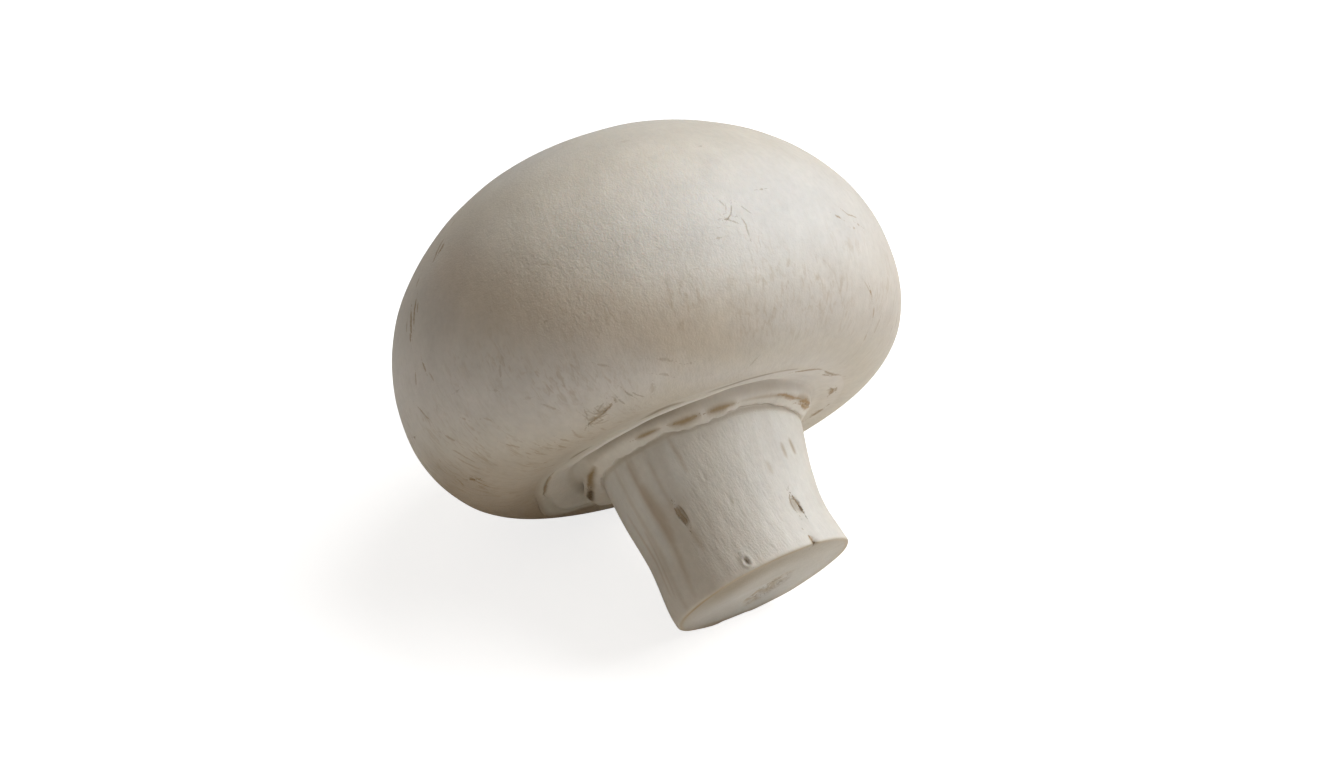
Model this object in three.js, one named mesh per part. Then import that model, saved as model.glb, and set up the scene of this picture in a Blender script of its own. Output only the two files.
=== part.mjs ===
// A button mushroom as picked: a closed cap with its margin rolled in, the torn edge of the veil
// under it, and a short stem with a knife-cut foot. It grew as one piece of flesh, so it is one
// closed solid.
//
// Millimetres, +Z up. The mushroom lies on its side on the plane z = 0, which it touches with the
// side of its cap and with the edge of the cut. +X runs along the mushroom from cap to stem, and
// the origin is under the middle of its bounding box.
//
// It is modelled upright first: the crown up, the widest level of the cap at z = 0, and the stem
// leaning towards +x.
import * as THREE from "three";

// Cap
const capRadius = 22.5; // at the widest level
const crownHeight = 18; // from the widest level up to the crown
const marginDepth = 9.95; // from the widest level down to the lowest part of the rolled margin
const marginRadius = 14.2; // where the rolled margin is lowest
const marginFullness = 2.2; // superellipse exponent of the roll, 2 is a plain ellipse
const marginSlope = 0.64; // the margin hangs this much higher on the +x side, and lower on the other

// Stem and veil stand off the cap's axis, and the stem bends away from it
const footOffset = 1.3;
const straightDepth = 12.5; // the stem is straight down to here
const bend = 0.0125; // mm of offset for each square mm of depth below that

// Cut
const cutDepth = 24.15; // from the widest level of the cap to the middle of the cut
const cutSlope = 0.15; // the knife went through askew, higher on the +x side

// Torn veil
const tearDepth = 0.22;
const tearReach = 0.8; // mm along the flesh over which a tear fades out

// Lying on its side
const restingSide = THREE.MathUtils.degToRad(110); // direction of the side it lies on, from +x
const axisDip = THREE.MathUtils.degToRad(37.9); // the axis points this far below the horizontal
const restFlat = 0.3; // the flesh gives this much where it touches

// Mesh
const segments = 72;
const domeSteps = 16;
const rollSteps = 12;
const undersideSteps = 20;
const stemSteps = 14;

// Radius and height points of the veil's trough and collar, from the rolled margin inwards.
const underside = new THREE.SplineCurve([
  new THREE.Vector2(marginRadius, -marginDepth),
  new THREE.Vector2(12.6, -9.8),
  new THREE.Vector2(11.9, -9.6), // shallow crease outside the lip
  new THREE.Vector2(11.45, -9.75), // lip
  new THREE.Vector2(11.15, -9.4),
  new THREE.Vector2(10.75, -8.8), // bottom of the trough
  new THREE.Vector2(10.4, -9.5),
  new THREE.Vector2(10.35, -10.15), // shoulder of the collar
  new THREE.Vector2(9.75, -10.75),
  new THREE.Vector2(9.15, -11.05), // torn edge of the collar
  new THREE.Vector2(8.9, -11.2),
]);

// Stem below the collar, down to the rounded edge of the cut.
const stem = new THREE.SplineCurve([
  new THREE.Vector2(8.9, -11.2),
  new THREE.Vector2(8.85, -12.2),
  new THREE.Vector2(8.45, -15),
  new THREE.Vector2(8.0, -18), // waist
  new THREE.Vector2(7.9, -20),
  new THREE.Vector2(8.07, -22.6),
  new THREE.Vector2(8.05, -cutDepth + 0.35),
  new THREE.Vector2(7.85, -cutDepth),
]);

// The cut face, from its edge to the slack hollow in the middle of the pith.
const cutFace = [
  new THREE.Vector2(5.4, -cutDepth + 0.05),
  new THREE.Vector2(3.1, -cutDepth + 0.15),
  new THREE.Vector2(2.2, -cutDepth + 0.55),
  new THREE.Vector2(1.0, -cutDepth + 0.75),
  new THREE.Vector2(0, -cutDepth + 0.8),
];

function domePoints() {
  const points = [];
  for (let i = 0; i < domeSteps; i++) {
    const a = (i / domeSteps) * (Math.PI / 2);
    points.push(new THREE.Vector2(capRadius * Math.sin(a), crownHeight * Math.cos(a)));
  }
  return points;
}

function rollPoints() {
  const points = [];
  const power = 2 / marginFullness;
  for (let i = 0; i < rollSteps; i++) {
    const a = (i / rollSteps) * (Math.PI / 2);
    const r = marginRadius + (capRadius - marginRadius) * Math.cos(a) ** power;
    points.push(new THREE.Vector2(r, -marginDepth * Math.sin(a) ** power));
  }
  return points;
}

// How much of the collar's tear a point takes: all of it on the torn edge, none a little way off.
function tearShare(r, z) {
  const away = Math.hypot(r - 9.15, z + 11.05) / tearReach;
  return away < 1 ? (1 - away * away) ** 2 : 0;
}

// Moves a point of the round body to where the grown one has it.
function grow(p) {
  const r = Math.hypot(p.x, p.y);
  const angle = Math.atan2(p.y, p.x);
  const depth = -p.z;
  const low = THREE.MathUtils.clamp(depth / marginDepth, 0, 1) ** 2;
  const outer = THREE.MathUtils.clamp((r - 8) / 6, 0, 1) ** 2;
  let rise = low * outer * marginSlope * (p.x / capRadius);
  let shift = footOffset * low * THREE.MathUtils.smoothstep(17 - r, 0, 5.5);

  // the stem's bend, and the slope of the cut, which fades out up the stem
  const below = Math.max(0, depth - straightDepth);
  shift += bend * below * below;
  const reach = THREE.MathUtils.clamp((depth - 11.5) / (cutDepth - 11.5), 0, 1);
  rise += reach * cutSlope * p.x;

  // the ragged edge of the veil
  const tear = tearShare(r, p.z);
  const ragged = Math.sin(5 * angle + 0.6) + 0.7 * Math.sin(9 * angle + 2.1);
  const grown = r === 0 ? 0 : 1 + (tear * tearDepth * ragged) / r;
  p.set(p.x * grown + shift, p.y * grown, p.z + rise + 0.5 * tear * tearDepth * ragged);
}

// Flattens the body a little where it lies. down points at the plane it lies on.
function settle(position, down) {
  const p = new THREE.Vector3();
  let lowest = -Infinity;
  for (let i = 0; i < position.count; i++) {
    lowest = Math.max(lowest, p.fromBufferAttribute(position, i).dot(down));
  }
  const floor = lowest - restFlat;
  for (let i = 0; i < position.count; i++) {
    const over = p.fromBufferAttribute(position, i).dot(down) - floor;
    if (over > 0) {
      p.addScaledVector(down, -over);
      position.setXYZ(i, p.x, p.y, p.z);
    }
  }
}

function mushroomGeometry() {
  const profile = [
    ...domePoints(),
    ...rollPoints(),
    ...underside.getSpacedPoints(undersideSteps).slice(0, -1),
    ...stem.getSpacedPoints(stemSteps),
    ...cutFace,
  ];
  const geometry = new THREE.LatheGeometry(profile.reverse(), segments);
  geometry.rotateX(Math.PI / 2);
  const position = geometry.getAttribute("position");
  const p = new THREE.Vector3();
  for (let i = 0; i < position.count; i++) {
    grow(p.fromBufferAttribute(position, i));
    position.setXYZ(i, p.x, p.y, p.z);
  }
  const down = new THREE.Vector3(
    Math.cos(axisDip) * Math.cos(restingSide),
    Math.cos(axisDip) * Math.sin(restingSide),
    -Math.sin(axisDip),
  );
  settle(position, down);
  geometry.computeVertexNormals();
  return geometry;
}

const flesh = new THREE.MeshStandardMaterial({ color: 0xd8d2c6, roughness: 0.62, metalness: 0 });
const mushroom = new THREE.Mesh(mushroomGeometry(), flesh);
mushroom.name = "button_mushroom";

// The resting side is turned to face -x, then the whole mushroom is laid over onto it.
const turned = new THREE.Group();
turned.rotation.z = Math.PI - restingSide;
turned.add(mushroom);
const laid = new THREE.Group();
laid.rotation.y = axisDip - Math.PI / 2;
laid.add(turned);

const part = new THREE.Group();
part.add(laid);
const box = new THREE.Box3().setFromObject(part, true);
const middle = box.getCenter(new THREE.Vector3());
laid.position.set(-middle.x, -middle.y, -box.min.z);

export default part;
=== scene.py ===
# A closed-cup button mushroom lying on its side on a pale studio floor.
# The mushroom is shaped upright in millimetres, crown up and the widest level of the cap at z = 0,
# then laid down and put where the frame has it, in metres.
import math
import random

import bpy
import numpy as np
from mathutils import Matrix, Vector, noise


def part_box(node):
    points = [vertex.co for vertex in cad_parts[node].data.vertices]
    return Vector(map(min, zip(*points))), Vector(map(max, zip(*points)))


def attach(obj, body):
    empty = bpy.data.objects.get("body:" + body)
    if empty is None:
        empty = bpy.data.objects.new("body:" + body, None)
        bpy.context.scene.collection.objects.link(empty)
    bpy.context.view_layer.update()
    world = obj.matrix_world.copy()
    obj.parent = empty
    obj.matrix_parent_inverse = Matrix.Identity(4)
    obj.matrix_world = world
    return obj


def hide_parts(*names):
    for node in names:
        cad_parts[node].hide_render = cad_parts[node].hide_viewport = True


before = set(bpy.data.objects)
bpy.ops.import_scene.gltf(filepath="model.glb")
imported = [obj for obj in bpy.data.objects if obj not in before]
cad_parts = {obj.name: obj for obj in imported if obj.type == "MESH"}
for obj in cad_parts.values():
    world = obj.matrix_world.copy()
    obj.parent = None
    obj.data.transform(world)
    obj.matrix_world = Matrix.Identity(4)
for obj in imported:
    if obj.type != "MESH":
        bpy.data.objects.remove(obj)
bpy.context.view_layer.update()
mm = 0.001
print("frame loaded")


# small helpers


def hexToLinear(text):
    channels = [int(text[i : i + 2], 16) / 255 for i in (1, 3, 5)]
    linear = [c / 12.92 if c <= 0.04045 else ((c + 0.055) / 1.055) ** 2.4 for c in channels]
    return (*linear, 1.0)


def addNode(tree, kind, settings=None, links=None):
    # a setting goes to the node itself where it has one of that name, or else to an input;
    # a link from a node, not a socket, takes its first output
    node = tree.nodes.new("ShaderNode" + kind)
    own = {name for name in settings or {} if isinstance(name, str) and hasattr(node, name)}
    for name in own:
        setattr(node, name, settings[name])
    for name in (settings or {}).keys() - own:
        node.inputs[name].default_value = settings[name]
    for name, source in (links or {}).items():
        tree.links.new(source.outputs[0] if hasattr(source, "outputs") else source, node.inputs[name])
    return node


def smooth(low, high, x):
    t = np.clip((x - low) / (high - low), 0, 1)
    return t * t * (3 - 2 * t)


def hump(x, middle, width):
    return np.exp(-(((x - middle) / width) ** 2))


def turnApart(a, b):
    # signed angle in degrees from b to a, between -180 and 180
    return (a - b + 180) % 360 - 180


def curveAt(points, t):
    # a smooth curve through given points, point k at t = k
    p = np.array(points, float)
    p = np.vstack([2 * p[0] - p[1], p, 2 * p[-1] - p[-2]])
    i = np.minimum(t.astype(int), len(points) - 2)
    f = (t - i)[:, None]
    a, b, c, d = p[i], p[i + 1], p[i + 2], p[i + 3]
    return 0.5 * (2 * b + (c - a) * f + (2 * a - 5 * b + 4 * c - d) * f**2 + (3 * b - 3 * c + d - a) * f**3)


def evenSteps(points, steps):
    # where to stop on such a curve for steps of one length
    t = np.linspace(0, len(points) - 1, steps * 12)
    length = lengthAlong(curveAt(points, t))
    return np.interp(np.linspace(0, length[-1], steps), length, t)


def lengthAlong(curve):
    return np.r_[0, np.cumsum(np.hypot(*np.diff(curve, axis=0).T))]


def evenly(curve, steps):
    length = lengthAlong(curve)
    at = np.linspace(0, length[-1], steps)
    return np.stack([np.interp(at, length, curve[:, k]) for k in (0, 1)], 1)


def around(points, azimuth):
    # a value that changes smoothly with azimuth in degrees, through (azimuth, value) points, and closes
    at = np.array([p[0] for p in points], float)
    value = np.array([p[1] for p in points], float)
    at = np.r_[at[-1] - 360, at, at[0] + 360]
    value = np.r_[value[-1], value, value[0]]
    a = turnApart(np.asarray(azimuth), 0)
    i = np.clip(np.searchsorted(at, a) - 1, 0, len(at) - 2)
    f = (a - at[i]) / (at[i + 1] - at[i])
    f = f * f * (3 - 2 * f)
    return value[i] * (1 - f) + value[i + 1] * f


def noiseAt(places, seed):
    # smooth noise between about -1 and 1 at each place
    shiftBy = Vector((seed * 17.3, seed * 5.1, seed * 9.7))
    return np.array([noise.noise(Vector(p) + shiftBy) for p in places])


# shape

cap = {
    "radius": 22.5,
    "crown": 18.0,
    "marginDepth": 9.95,
    "marginRadius": 14.2,
    "marginFullness": 2.2,  # exponent of the roll, 2 is an ellipse
    "marginSlope": 0.64,  # the margin hangs higher towards +x
    "sway": 0.10,  # slow unevenness of the dome
    "pucker": 0.022,  # the skin's shallow wrinkles
}

veil = {
    "scallops": 0.05,  # small waves of its torn edge
    "flapSide": 153,  # degrees, where a flap of the collar hangs out
    "flapOut": 1.6,
    "flapDown": 0.5,
    "snugSide": -42,  # where the collar lies close on the stem
    "snug": 0.16,
    "lumps": 0.05,
}

stem = {
    "offset": 1.3,  # the stem and veil stand off the cap's axis
    "sunk": 0.21,  # and sit a little up into the cap
    "straightDepth": 12.5,
    "bend": 0.0125,
    "foot": -0.35,  # mm that the cut end turns back
    "collarDepth": 11.5,
    "cutDepth": 24.2,  # the cut's slope grows from the collar to here
    "cutSlope": 0.15,
    "flutes": 0.05,
    "fibres": 0.030,
    "fibreRadius": 8.5,
    "winding": 0.017,  # radians that the fibres turn in a mm
    "rimWander": 0.025,  # unevenness of the knife cut
    "nick": 0.30,
    "hollow": 0.12,  # depth of the dish in the cut, and its roughness
    "hollowRough": 0.14,
    "hollowAt": (0.2, 2.4),  # its middle, half its length and width, and which way it lies
    "hollowHalf": (3.3, 1.7),
    "hollowWay": (0.75, 0.66),
}

# radius and height from the rolled margin in to the stem, the same points in three states
# crisp, where the veil tore off and left a thin lip over a trough
crispUnderside = [
    (14.2, -9.95), (13.3, -9.94), (12.5, -9.9), (12.05, -9.8),  # crease outside the lip
    (11.78, -9.88), (11.52, -10.02),  # lip
    (11.34, -10.02),  # its thin edge
    (11.26, -9.78), (11.2, -9.42), (11.02, -9.16),  # trough
    (10.74, -9.24), (10.54, -9.6), (10.42, -9.98),  # wall of the collar
    (10.24, -10.3), (9.98, -10.56),  # its shoulder
    (9.62, -10.84), (9.24, -11.14),  # torn edge
    (8.98, -10.98), (8.88, -11.3),
]
# soft, where the veil still runs into the margin
softUnderside = [
    (14.2, -9.95), (13.2, -9.86), (12.4, -9.75), (11.9, -9.68), (11.65, -9.66), (11.42, -9.64),
    (11.22, -9.62), (11.05, -9.6), (10.88, -9.58), (10.74, -9.58), (10.62, -9.64),
    (10.52, -9.8), (10.4, -10.02), (10.22, -10.3), (9.96, -10.54), (9.62, -10.82),
    (9.24, -11.12), (8.98, -10.98), (8.88, -11.3),
]
# folded, where a broad pleat of veil lies between the crease and the trough
foldedUnderside = [
    (14.2, -9.95), (13.9, -9.98), (13.65, -9.97), (13.45, -9.88),  # crease
    (13.2, -9.97), (12.7, -9.99), (12.1, -9.9), (11.6, -9.82), (11.25, -9.72),
    (10.98, -9.66),  # trough
    (10.74, -9.7), (10.54, -9.84), (10.42, -10.02), (10.24, -10.32), (9.98, -10.56),
    (9.62, -10.84), (9.24, -11.14), (8.98, -10.98), (8.88, -11.3),
]
# how far the soft and the folded state hold, by azimuth
softShare = [
    (-165, 0.1), (-150, 0), (-95, 0), (-75, 0.15), (-60, 0.3), (-48, 0.5),
    (-38, 0.85), (-28, 1), (8, 1), (45, 0.5), (80, 0.1), (130, 0.1),
]
foldedShare = [(-178, 1), (-160, 0.9), (-146, 0.35), (-134, 0), (100, 0), (125, 0.4), (150, 0.9)]

# radius and height down the stem, over its cut edge and in to the middle of the cut
stemSide = [(8.88, -11.3), (8.85, -12.2), (8.45, -15), (8, -18), (7.9, -20), (8.07, -22.6), (8.08, -23.7)]
cutEdge = [(8.08, -23.7), (8.07, -23.98), (7.98, -24.12), (7.8, -24.15)]
cutFace = [(7.8, -24.15), (6.4, -24.12), (4.6, -24.1), (3, -24.08), (1.5, -24.08), (0, -24.08)]

lie = {
    "restingSide": 110,  # degrees, the side of the mushroom that is down
    "axisDip": 37.9,  # degrees that its axis points below the horizontal
    "flat": 0.3,  # mm that the flesh gives where it touches
}

# how many rings lie along each stretch, and how many points lie around
rings = {"dome": 84, "roll": 42, "underside": 62, "stem": 56, "edge": 8, "cut": 26, "around": 384}

t = np.linspace(0, math.pi / 2, 600)  # a quarter turn, for both halves of the cap's outline
dome = np.stack([cap["radius"] * np.sin(t), cap["crown"] * np.cos(t)], 1)
fullness = 2 / cap["marginFullness"]
rollReach = cap["radius"] - cap["marginRadius"]
roll = np.stack(
    [cap["marginRadius"] + rollReach * np.cos(t) ** fullness, -cap["marginDepth"] * np.sin(t) ** fullness], 1
)
underSteps = evenSteps(crispUnderside, rings["underside"])
stretches = [evenly(dome, rings["dome"]), evenly(roll, rings["roll"])[1:]]
stretches.append(curveAt(crispUnderside, underSteps)[1:])
for line, count in ((stemSide, rings["stem"]), (cutEdge, rings["edge"]), (cutFace, rings["cut"])):
    stretches.append(curveAt(line, evenSteps(line, count))[1:])
crisp = np.vstack(stretches)
stretchEnds = np.cumsum([len(s) for s in stretches])
arc = lengthAlong(crisp)  # mm from the crown along the skin
ringCount = len(crisp)

# points around each ring: halved inside each of these radii, on the dome and on the cut
domeHalvings = (10.5, 5.0, 2.4, 1.1)
cutHalvings = (4.2, 2.0, 0.9)
aroundCounts = []
for i, r in enumerate(crisp[:, 0]):
    limits = domeHalvings if i < stretchEnds[0] else cutHalvings if i >= stretchEnds[4] else ()
    halvings = sum(r < limit for limit in limits)
    aroundCounts.append(1 if r < 1e-6 else rings["around"] // 2**halvings)

ringStart = np.r_[0, np.cumsum(aroundCounts)]
vertexCount = int(ringStart[-1])
ringOf = np.repeat(np.arange(ringCount), aroundCounts)
azimuth = np.concatenate([np.arange(n) * 360 / n - 180 for n in aroundCounts])
arcOf = arc[ringOf]
onCap = ringOf < stretchEnds[1]
onUnder = (ringOf >= stretchEnds[1]) & (ringOf < stretchEnds[2])
onStem = (ringOf >= stretchEnds[2]) & (ringOf < stretchEnds[4])
onCut = ringOf >= stretchEnds[4]
capArc, underArc, stemArc, rimArc = (arc[stretchEnds[k] - 1] for k in (1, 2, 3, 4))
down = arcOf - underArc  # mm down the stem
inward = arcOf - rimArc  # mm past the rim, on the cut

# the underside changes from state to state around the stem
profile = crisp[ringOf]
soft = around(softShare, azimuth)
folded = around(foldedShare, azimuth)
for line, share in ((softUnderside, soft), (foldedUnderside, folded)):
    other = crisp.copy()
    other[stretchEnds[1] : stretchEnds[2]] = curveAt(line, underSteps)[1:]
    profile = profile + (other[ringOf] - crisp[ringOf]) * share[:, None]
r0, z0 = profile.T


def side(middle, width):
    # 1 on one side of the mushroom, fading away from there, both in degrees of azimuth
    return hump(turnApart(azimuth, middle), 0, width)


# the veil's torn edge hangs lower or is torn back, and its lip lies higher, mm of height by azimuth
tornEdge = [
    (-172, -0.05), (-150, -0.02), (-138, 0.1), (-126, 0), (-114, 0.12), (-103, 0.25), (-97, -0.08),
    (-92, -0.24), (-86, -0.12), (-82, -0.16), (-78, -0.05), (-74, 0), (-69, 0.28), (-62, 0.38), (-54, 0.44),
    (-44, 0.32), (-33, 0.1), (-24, -0.12), (-10, -0.3), (12, 0.1), (24, -0.15), (38, 0.15), (55, 0.3),
    (66, -0.1), (84, 0.05), (100, 0.35), (112, 0), (126, -0.3), (142, -0.6), (156, -0.6), (168, -0.3),
]
lipHeight = [
    (-150, 0), (-120, 0), (-102, 0.14), (-84, 0.18), (-66, 0.4), (-50, 0.46), (-36, 0.3), (0, 0.1),
]
torn = around(tornEdge, azimuth)
turn = np.radians(azimuth)
scallops = np.sin(turn * 23 + 1) + 0.8 * np.sin(turn * 41 + 2) + 0.6 * np.sin(turn * 67)
nearTear = hump(down, -0.55, 0.8)
nearTearEdge = hump(down, -0.45, 0.3)
nearLip = hump(r0, 11.45, 0.6) * onUnder
z0 = z0 + torn * nearTear + veil["scallops"] * scallops * nearTearEdge + around(lipHeight, azimuth) * nearLip
r0 = r0 + 0.25 * torn * nearTear * (1 - smooth(-0.3, 0.9, down))
# a flap of the collar hangs out where it joins the pleat
flap = side(veil["flapSide"], 15) * onUnder * smooth(-9.55, -10.2, z0) * smooth(8.95, 9.6, r0)
r0 = r0 + veil["flapOut"] * flap
z0 = z0 - veil["flapDown"] * flap
# elsewhere it lies close on the stem
r0 = r0 - veil["snug"] * side(veil["snugSide"], 26) * hump(down, -0.6, 0.4)
# the knife's edge wanders
rimShare = smooth(stemArc - 1.2, stemArc + 0.3, arcOf) * (1 - smooth(0.2, 3, inward))
rimSway = stem["rimWander"] * (np.sin(turn * 3 + 0.5) + 0.5 * np.sin(turn * 7 + 2) + 0.3 * np.sin(turn * 13))
z0 = z0 + rimShare * rimSway
z0 = z0 + stem["sunk"] * smooth(capArc - 2, capArc + 1, arcOf)

x = r0 * np.cos(turn)
y = r0 * np.sin(turn)

# grown askew: margin slope outside the stem, stem set off from inside the margin on and bent, cut sloped
depth = -z0
low = np.clip(depth / cap["marginDepth"], 0, 1) ** 2
outer = np.clip((r0 - 8) / 6, 0, 1) ** 2
rise = low * outer * cap["marginSlope"] * x / cap["radius"]
shift = stem["offset"] * low * smooth(0, 5.5, 17 - r0)
shift = shift + stem["bend"] * np.maximum(0, depth - stem["straightDepth"]) ** 2
shift = shift + stem["foot"] * smooth(17, 24, depth)
reach = np.clip((depth - stem["collarDepth"]) / (stem["cutDepth"] - stem["collarDepth"]), 0, 1)
rise = rise + reach * stem["cutSlope"] * x
points = np.stack([x + shift, y, z0 + rise], 1)

# faces between neighbouring rings
faces = []
for i in range(ringCount - 1):
    a, b = int(ringStart[i]), int(ringStart[i + 1])
    n, m = aroundCounts[i], aroundCounts[i + 1]
    if n == 1:
        faces += [(a, b + j, b + (j + 1) % m) for j in range(m)]
    elif m == 1:
        faces += [(a + j, b, a + (j + 1) % n) for j in range(n)]
    elif n == m:
        faces += [(a + j, b + j, b + (j + 1) % m, a + (j + 1) % n) for j in range(n)]
    elif m > n:
        for j in range(n):
            k = (j + 1) % n
            middle = b + 2 * j + 1
            faces += [(a + j, b + 2 * j, middle), (a + j, middle, a + k)]
            faces.append((a + k, middle, b + (2 * j + 2) % m))
    else:
        for j in range(m):
            k = (j + 1) % m
            middle = a + 2 * j + 1
            faces += [(a + 2 * j, b + j, middle), (middle, b + j, b + k)]
            faces.append((middle, b + k, a + (2 * j + 2) % n))
print("rings", ringCount, "points", vertexCount, "triangles", sum(len(f) - 2 for f in faces))


def normalsOf(points, faces):
    total = np.zeros_like(points)
    for size in (3, 4):
        f = np.array([q for q in faces if len(q) == size])
        a, b = points[f[:, 1]] - points[f[:, 0]], points[f[:, 2]] - points[f[:, 0]]
        if size == 4:
            a, b = points[f[:, 2]] - points[f[:, 0]], points[f[:, 3]] - points[f[:, 1]]
        for k in range(size):
            np.add.at(total, f[:, k], np.cross(a, b))
    return total / np.linalg.norm(total, axis=1)[:, None]


normals = normalsOf(points, faces)
radial = np.stack([np.cos(turn), np.sin(turn)], 1)

# slow unevenness, then shallow wrinkles that run down the cap
lift = cap["sway"] * noiseAt(points / 9, 1) * smooth(-9, -6, z0)
lift += 0.35 * cap["sway"] * noiseAt(points / 3.4, 2) * smooth(-9.5, -8, z0)
wrinkleShare = 0.25 + 0.75 * side(-95, 34) * hump(arcOf, 31, 7)
alongSkin = np.c_[radial * cap["radius"], arcOf[:, None]]
wrinkles = noiseAt(alongSkin * (0.95, 0.95, 0.5), 7) * wrinkleShare
lift += cap["pucker"] * wrinkles * onCap * smooth(6, 16, arcOf)
# broad flutes down the stem and a fine fibrous grain
onShaft = smooth(0, 0.4, down) * (1 - smooth(-0.8, 0, inward)) * onStem
lift += stem["flutes"] * noiseAt(np.c_[radial * 2.4, z0[:, None] * 0.08], 5) * onShaft
lift += stem["fibres"] * noiseAt(np.c_[radial * 14, z0[:, None] * 0.5], 3) * onShaft
# the veil's collar and trough are a little lumpy
lift += veil["lumps"] * noiseAt(points / 1.5, 6) * onUnder * smooth(11.2, 10.6, r0)
points = points + normals * lift[:, None]

# pits and scars in the stem: azimuth and mm below the collar of the middle, half width and height,
# then mm of depth, of the rim around it, and of a raised streak inside
stemPits = [
    (-116, 6.15, 0.36, 0.98, 0.2, 0.03, 0.18),
    (-47, 9, 0.42, 1, 0.14, 0.04, 0.18),
    (-93.8, 12, 0.26, 0.4, 0.15, 0.11, 0),
    (-94.2, 4, 0.2, 0.6, 0.06, 0.02, 0),
    (-86.4, 6.7, 0.22, 0.7, 0.06, 0.02, 0),
    (60, 6.6, 0.36, 0.85, 0.26, 0.05, 0.2),
    (150, 9.6, 0.26, 0.55, 0.26, 0.05, 0),
    (15, 10.4, 0.22, 0.6, 0.18, 0.03, 0),
    (100, 3.8, 0.2, 0.7, 0.1, 0.02, 0),
]
push = np.zeros(vertexCount)
pitShade = np.zeros(vertexCount)  # how deep inside a pit a point is, 0 to 1, which sets the painted shade in it
for pitAzimuth, pitDown, wide, tall, deep, rim, core in stemPits:
    across = np.radians(turnApart(azimuth, pitAzimuth)) * r0
    along = down - pitDown
    q = np.hypot(across / wide, along / tall)
    push += -deep * np.clip(1 - q**2, 0, 1) ** 0.8 + rim * hump(q, 1.3, 0.3)
    push += core * hump(across, 0.1 * wide, 0.4 * wide) * hump(along, 0, 0.6 * tall)
    pitShade = np.maximum(pitShade, smooth(1.1, 0.6, q) * min(1, deep / 0.24) ** 2)
# the nick in the cut rim
push -= stem["nick"] * side(-49.8, 2.2) * hump(inward, -0.3, 0.45)
points = points + normals * (push * onStem)[:, None]
# the hollow in the cut face is a ragged dish beside its middle, longer one way
fromX, fromY = r0 * np.cos(turn) - stem["hollowAt"][0], r0 * np.sin(turn) - stem["hollowAt"][1]
halfLong, halfWide = stem["hollowHalf"]
wayX, wayY = stem["hollowWay"]
hollow = np.hypot((wayX * fromX - wayY * fromY) / halfLong, (wayY * fromX + wayX * fromY) / halfWide)
hollow = (1 - smooth(0.7, 1.1, hollow * (1 + 0.25 * noiseAt(points / 1.4, 9)))) * onCut
dish = (stem["hollow"] + stem["hollowRough"] * noiseAt(points / 0.8, 8)) * hollow
points = points - normals * dish[:, None]
print("surface shaped")

# laying it down

laid = Matrix.Rotation(math.radians(lie["axisDip"] - 90), 3, "Y") @ Matrix.Rotation(
    math.radians(180 - lie["restingSide"]), 3, "Z"
)
points = points @ np.array(laid).T
lowest = points[:, 2].min() + lie["flat"]
points[:, 2] = np.maximum(points[:, 2], lowest)
boxLow, boxHigh = [np.array(corner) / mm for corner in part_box("button_mushroom")]
middle = (points.min(0) + points.max(0)) / 2
points += [*((boxLow + boxHigh) / 2 - middle)[:2], boxLow[2] - points[:, 2].min()]

mesh = bpy.data.meshes.new("mushroomFlesh")
mesh.from_pydata((points * mm).tolist(), [], faces)
mesh.update()
mesh.polygons.foreach_set("use_smooth", [True] * len(mesh.polygons))
mushroom = bpy.data.objects.new("mushroomFlesh", mesh)
scene = bpy.context.scene
scene.collection.objects.link(mushroom)

# colour painted on the points

fleshColours = {
    "crown": "#DAD3C6",  # warm cream on the top of the cap
    "paleAndLit": "#DEDDDB",  # pale flesh, also painted highlight and painted rim light on the dome
    "shoulderAndShade": "#CFBEA9",  # duller tan band where the cap turns over, darkened further as painted shade
    "paintedShade": "#CBC5C0",  # painted shade, greyer, beside it
    "paleLitMargin": "#E9E5E2",  # the paler roll below it, lightened further as painted light from below
    "tan": "#AF9D88",  # dried fibrils near the margin
    # pale lip, used as painted highlight
    "lipHighlight": "#F4F0E9",
    # painted shade down in the trough under the lip
    "troughShade": "#BFB5A6",
    "veil": "#E3DDD3",
    # brown of the creases, also painted shadow under the collar's torn edge
    "creaseAndShadow": "#94826A",
    "patch": "#A58F6E",  # dried scraps of veil
    "stem": "#E0DBD2",
    "stemTan": "#B29E88",
    "stemPale": "#E2E1DE",
    # brown of scars, also painted shade deep in pits and holes
    "shadedPit": "#8B7557",
    "rim": "#A0875D",  # the cut edge yellows first
    "cut": "#D3CFC8",
    "cutTan": "#988870",
    "hollow": "#C2B39D",
}
flesh = np.tile(hexToLinear(fleshColours["crown"]), (vertexCount, 1))


def paint(colour, share):
    share = np.clip(share, 0, 1)[:, None]
    flesh[:] = flesh * (1 - share) + np.array(hexToLinear(fleshColours[colour])) * share


def under(feature):
    # how far from the crown a numbered point of the underside's profile lies
    return float(np.interp(feature, underSteps, arc[stretchEnds[1] - 1 : stretchEnds[2]]))


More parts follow.
